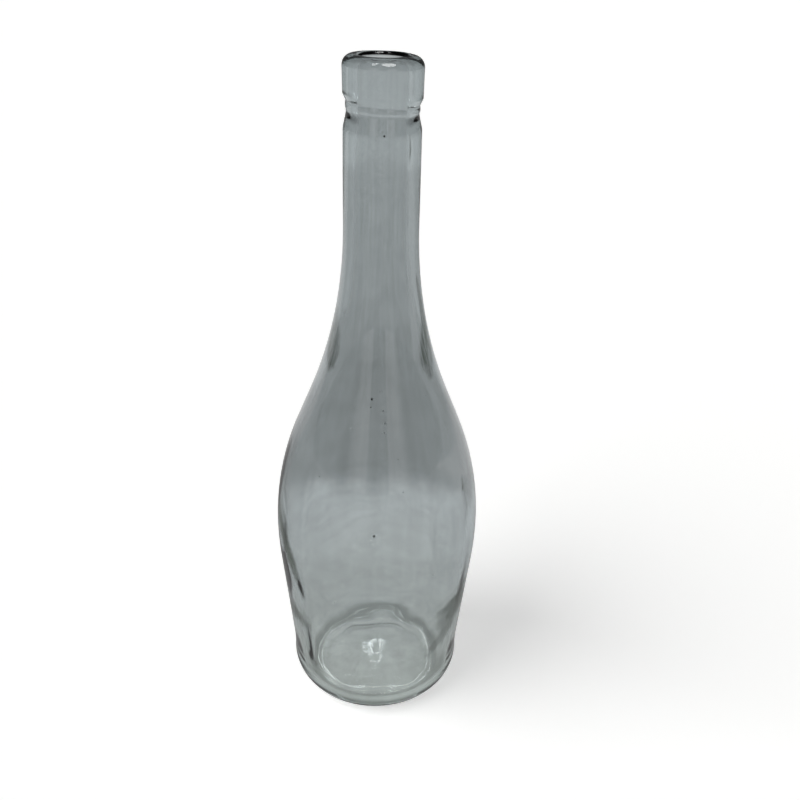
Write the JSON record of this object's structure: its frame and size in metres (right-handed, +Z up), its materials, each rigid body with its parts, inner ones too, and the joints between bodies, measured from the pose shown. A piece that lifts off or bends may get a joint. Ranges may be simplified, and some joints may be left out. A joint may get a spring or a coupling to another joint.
{
  "type": "glass bottle",
  "caption": "Clear glass bottle with a skittle body, long sloping shoulder, slim neck, small bead and a tall rounded lip, open at the mouth.",
  "frame": {"origin": "centre of the bottle's foot, on the surface it stands on", "axes": "+Z up the bottle's axis to the mouth; round about Z, so X and Y are alike"},
  "size_m": [0.092, 0.092, 0.29],
  "materials": {
    "clear_glass": "clear moulded soda-lime glass with a faint grey-green cast, glossy inside and out"
  },
  "bodies": {
    "root": {"bottle": "clear_glass"}
  },
  "joints": []
}
